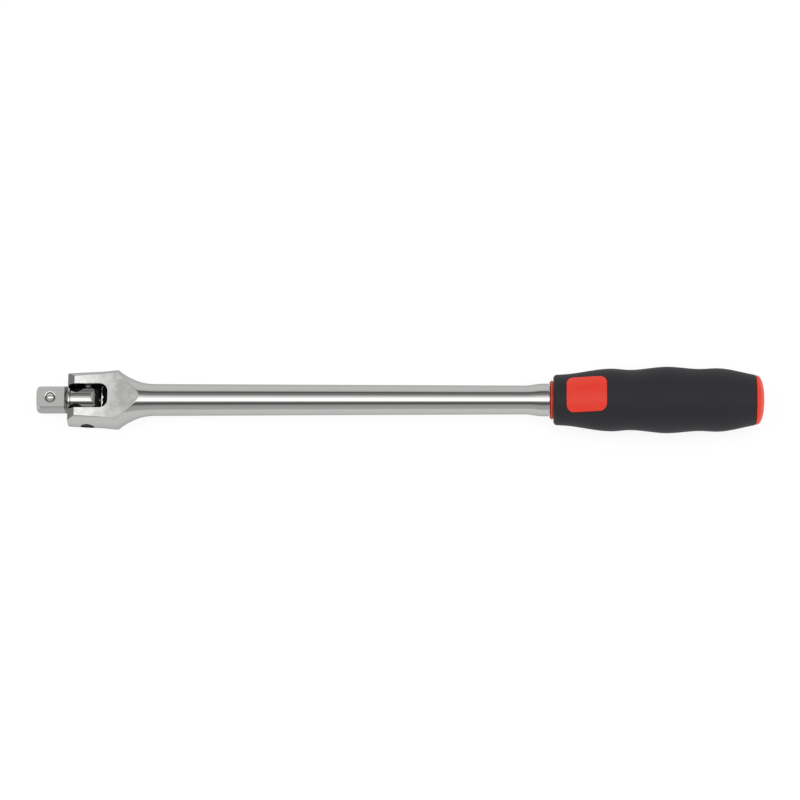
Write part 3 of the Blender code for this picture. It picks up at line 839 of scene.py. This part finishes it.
def make_grip():
    """The soft sleeve with its window over the pad."""
    half_width = PAD_HALF_WIDTH + PAD_GAP
    window = rounded_rectangle(PAD_X[0] - PAD_GAP, PAD_X[1] + PAD_GAP, half_width, PAD_CORNER_R + PAD_GAP)
    grip = as_object(lathe(grip_outline(CORE_R + 0.1 * MM), closed=True), "soft_grip")
    combine(grip, prism(window, 0.0, CUT_REACH, ALONG_Z))
    soften(grip, 0.15 * MM, angle_deg=30)
    placed(grip, "bar", "grip_sleeve", "black_rubber", RUBBER)


def core_outline():
    """Closed outline of the core: seam and front ring outside, bore for the tang, socket for the cap."""
    front = CORE_LOW.x
    seam_end = front + SEAM_WIDTH
    seam_r = FRONT_RING_R - SEAM_DEPTH
    bore_end = TANG_END + TANG_ROOM
    outline = [(front, CORE_BORE_R), (front, seam_r), (seam_end, seam_r)]
    outline += [(seam_end, FRONT_RING_R - FRONT_RING_ROUND), (seam_end + FRONT_RING_ROUND, FRONT_RING_R)]
    outline += [(FRONT_RING_END, FRONT_RING_R), (FRONT_RING_END, CORE_R)]
    outline += [(CORE_HIGH.x, CORE_R), (CORE_HIGH.x, CAP_SOCKET_R)]
    outline += [(CAP_SOCKET_FLOOR, CAP_SOCKET_R), (CAP_SOCKET_FLOOR, CORE_END_BORE_R)]
    outline += [(bore_end, CORE_END_BORE_R), (bore_end, CORE_BORE_R)]
    return outline


def make_core():
    """The hard core with the pad that fills the sleeve's window."""
    core = as_object(lathe(core_outline(), closed=True), "red_core")
    pad = as_object(lathe(grip_outline(CORE_R - 1.0 * MM, inset=0.03 * MM), closed=True), "pad")
    pad_outline = rounded_rectangle(PAD_X[0], PAD_X[1], PAD_HALF_WIDTH, PAD_CORNER_R)
    combine(pad, prism(pad_outline, 0.5 * MM, CUT_REACH, ALONG_Z), "INTERSECT")
    combine(core, taken_back(pad), "UNION")
    soften(core, 0.12 * MM, angle_deg=30)
    placed(core, "bar", "handle_core", "red_plastic", RED, SEAM_PAINTED_SHADE)
    # The seam step's faces take the dark red: painted shade in the crease
    seam = 1
    for face in core.data.polygons:
        reach = math.hypot(face.center.y, face.center.z)
        if face.center.x < CORE_LOW.x + SEAM_WIDTH + 0.05 * MM and reach > FLARE_R - 0.5 * MM:
            face.material_index = seam


def make_cap():
    """The domed cap with its spigot; the dome is a superellipse."""
    rim_r = CAP_HIGH.z
    dome_start = CAP_FACE + CAP_LIP
    outline = [(CAP_LOW.x, 0.0), (CAP_LOW.x, SPIGOT_R - SPIGOT_CHAMFER)]
    outline += [(CAP_LOW.x + SPIGOT_CHAMFER, SPIGOT_R), (CAP_FACE, SPIGOT_R)]
    outline += [(CAP_FACE, rim_r - CAP_LIP), (dome_start, rim_r)]
    for step in range(1, CAP_DOME_STEPS):
        angle = math.pi / 2 * (1 - step / CAP_DOME_STEPS)
        radius = rim_r * math.sin(angle) ** (2 / CAP_DOME_POWER)
        along = math.cos(angle) ** (2 / CAP_DOME_POWER)
        outline.append((dome_start + (CAP_HIGH.x - dome_start) * along, radius))
    outline.append((CAP_HIGH.x, 0.0))
    cap = as_object(lathe(outline), "domed_cap")
    smooth(cap)
    placed(cap, "bar", "end_cap", "red_plastic", RED)


# ---------------------------------------------------------------- studio

# Camera, in degrees and metres, and its sensor in millimetres
CAMERA_ELEVATION = 74.6
CAMERA_DISTANCE = 2.3
CAMERA_X = 0.27
AIM_X = CAD_BOX[1].x / 2
FRAME_WIDTH = 0.44
SENSOR = 36.0
CLIP_START = 0.05

# Light around the bar's axis: angle from straight up towards +Y in degrees, and brightness
LIGHT_BANDS = (
    (-180.0, 1.00),
    (-97.0, 1.03),
    (-88.0, 0.75),
    (-80.0, 0.66),
    (-60.0, 0.62),
    (-52.0, 0.42),
    (-46.0, 0.18),
    (-36.0, 0.16),
    (-31.0, 0.35),
    (-25.0, 1.20),
    (-20.0, 2.30),
    (-4.0, 2.20),
    (3.0, 1.60),
    (10.0, 1.10),
    (17.0, 0.85),
    (23.0, 0.36),
    (32.0, 0.36),
    (41.0, 0.16),
    (48.0, 0.20),
    (55.0, 0.85),
    (62.0, 0.95),
    (80.0, 1.00),
    (180.0, 1.00),
)
BRIGHTEST = max(level for angle, level in LIGHT_BANDS)

# A dim screen beyond the drive end, where the direction's X falls through these values
FRONT_SCREEN_X = (-0.72, -0.88)
FRONT_SCREEN_LEVEL = 0.36

FLOOR_SIZE = 3.0
FLOOR_GAP = 0.05 * MM
FLOOR_COLOR = (0.18, 0.18, 0.18)
FLOOR_GLOW = 0.86


def make_world():
    """A long soft light overhead, dimmer bands on both sides of it and a pale surround."""
    world = bpy.data.worlds.new("studio")
    bpy.context.scene.world = world
    world.use_nodes = True
    tree = world.node_tree
    background = tree.nodes["Background"]
    background.inputs["Strength"].default_value = BRIGHTEST
    place = tree.nodes.new("ShaderNodeTexCoord")
    parts = tree.nodes.new("ShaderNodeSeparateXYZ")
    tree.links.new(place.outputs["Generated"], parts.inputs["Vector"])
    angle = tree.nodes.new("ShaderNodeMath")
    angle.operation = "ARCTAN2"
    tree.links.new(parts.outputs["Y"], angle.inputs[0])
    tree.links.new(parts.outputs["Z"], angle.inputs[1])
    turn = tree.nodes.new("ShaderNodeMapRange")
    tree.links.new(angle.outputs["Value"], turn.inputs["Value"])
    turn.inputs["From Min"].default_value = -math.pi
    turn.inputs["From Max"].default_value = math.pi
    ramp = tree.nodes.new("ShaderNodeValToRGB")
    tree.links.new(turn.outputs["Result"], ramp.inputs["Fac"])
    elements = ramp.color_ramp.elements
    while len(elements) > 1:
        elements.remove(elements[-1])
    for index, (degrees, level) in enumerate(LIGHT_BANDS):
        where = (degrees + 180.0) / 360.0
        element = elements[0] if index == 0 else elements.new(where)
        element.position = where
        element.color = (level / BRIGHTEST,) * 3 + (1.0,)
    toward_front = tree.nodes.new("ShaderNodeMapRange")
    toward_front.interpolation_type = "SMOOTHSTEP"
    tree.links.new(parts.outputs["X"], toward_front.inputs["Value"])
    toward_front.inputs["From Min"].default_value = FRONT_SCREEN_X[0]
    toward_front.inputs["From Max"].default_value = FRONT_SCREEN_X[1]
    screen = tree.nodes.new("ShaderNodeMix")
    screen.data_type = "RGBA"
    tree.links.new(toward_front.outputs["Result"], screen.inputs["Factor"])
    tree.links.new(ramp.outputs["Color"], screen.inputs["A"])
    screen.inputs["B"].default_value = (FRONT_SCREEN_LEVEL / BRIGHTEST,) * 3 + (1.0,)
    tree.links.new(screen.outputs["Result"], background.inputs["Color"])


def make_floor():
    """A pale floor just under the tool, bright enough of itself to leave only a faint shadow."""
    center = (CAD_BOX[1].x / 2, 0.0, CAD_BOX[0].z - FLOOR_GAP)
    bpy.ops.mesh.primitive_plane_add(size=FLOOR_SIZE, location=center)
    floor = bpy.context.object
    floor.name = "floor"
    m = Nodes("pale_floor")
    m.put(Base_Color=FLOOR_COLOR, Roughness=1.0, Specular_IOR_Level=0.0)
    m.put(Emission_Color=(1.0, 1.0, 1.0), Emission_Strength=FLOOR_GLOW)
    floor.data.materials.append(m.material)


def make_camera():
    data = bpy.data.cameras.new("camera")
    data.sensor_width = SENSOR
    data.clip_start = CLIP_START
    data.lens = SENSOR * CAMERA_DISTANCE / FRAME_WIDTH
    camera = bpy.data.objects.new("camera", data)
    bpy.context.collection.objects.link(camera)
    elevation = math.radians(CAMERA_ELEVATION)
    aside = math.atan2(CAMERA_X - AIM_X, CAMERA_DISTANCE)
    tilt = Matrix.Rotation(math.pi / 2 - elevation, 4, "X") @ Matrix.Rotation(aside, 4, "Y")
    ahead = CAMERA_DISTANCE * math.cos(elevation)
    camera.location = (CAMERA_X, -ahead, CAMERA_DISTANCE * math.sin(elevation))
    camera.rotation_euler = tilt.to_euler()
    bpy.context.scene.camera = camera


def make_studio():
    make_world()
    make_floor()
    make_camera()
    settings = bpy.context.scene.view_settings
    settings.view_transform = "Standard"
    settings.look = "None"


make_studio()
make_bar()
make_drive()
make_ball()
make_pin()
make_pin_rings()
make_plunger()
make_springs()
make_grip()
make_core()
make_cap()
